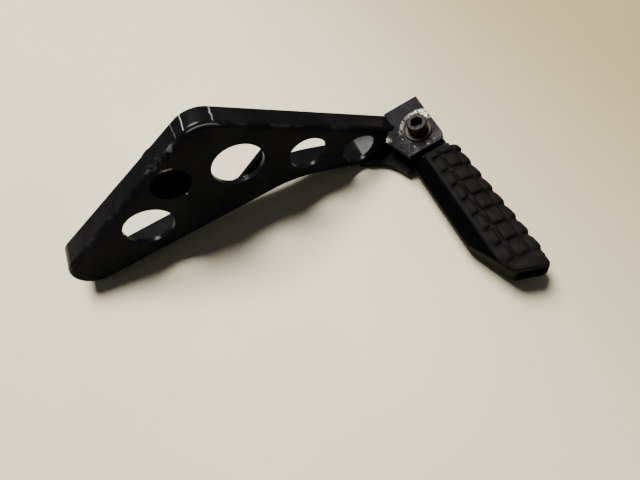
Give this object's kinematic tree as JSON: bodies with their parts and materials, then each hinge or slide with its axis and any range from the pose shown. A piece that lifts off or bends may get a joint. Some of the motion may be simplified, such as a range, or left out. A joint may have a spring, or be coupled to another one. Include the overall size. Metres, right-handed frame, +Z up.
{
  "type": "foot peg",
  "caption": "Folding passenger foot peg with a block-tread rubber, hinged in a clevis at the end of a pressed, flanged, lightened steel hanger.",
  "frame": {"origin": "centre of the mouth of the hanger's mounting cup, in the plane of the hanger's front face", "axes": "+X from the mounting bolt towards the peg end; +Y to the back of the hanger, the side that bolts to the vehicle, so the peg points along -Y; +Z up from the surface the part lies on"},
  "size_m": [0.2392, 0.134, 0.0865],
  "materials": {
    "gloss_black_paint": "worn gloss black paint",
    "cup_paint": "gloss black paint",
    "painted_weld": "rough black paint over weld",
    "worn_steel": "bare, greasy and scuffed steel",
    "dark_steel": "dark oily steel",
    "rusty_steel": "rusty, greasy steel",
    "washer_steel": "plain steel",
    "core_steel": "dull steel",
    "bush_bronze": "oiled bronze",
    "black_rubber": "matt black moulded rubber",
    "zinc_steel": "zinc-plated steel"
  },
  "bodies": {
    "hanger": {"hanger_plate": "gloss_black_paint", "mount_cup": "cup_paint", "cup_weld": "painted_weld", "rear_lug": "gloss_black_paint", "lug_weld": "painted_weld", "clevis": "worn_steel", "clevis_weld": "painted_weld", "pivot_screw": "dark_steel", "head_washer": "rusty_steel", "thrust_washer": "washer_steel", "wave_washer": "washer_steel"},
    "peg": {"peg_tongue": "core_steel", "pivot_bush": "bush_bronze", "tongue_weld": "core_steel", "peg_bar": "core_steel", "peg_rubber": "black_rubber", "rubber_screws": "zinc_steel", "screw_washers": "zinc_steel"}
  },
  "joints": [
    {"name": "peg_fold", "type": "hinge", "parent": "hanger", "child": "peg", "pos_m": [0.13993, -0.01, -0.04223], "axis": [-0.1564, 0, 0.9877], "range_deg": [0, 90]}
  ]
}
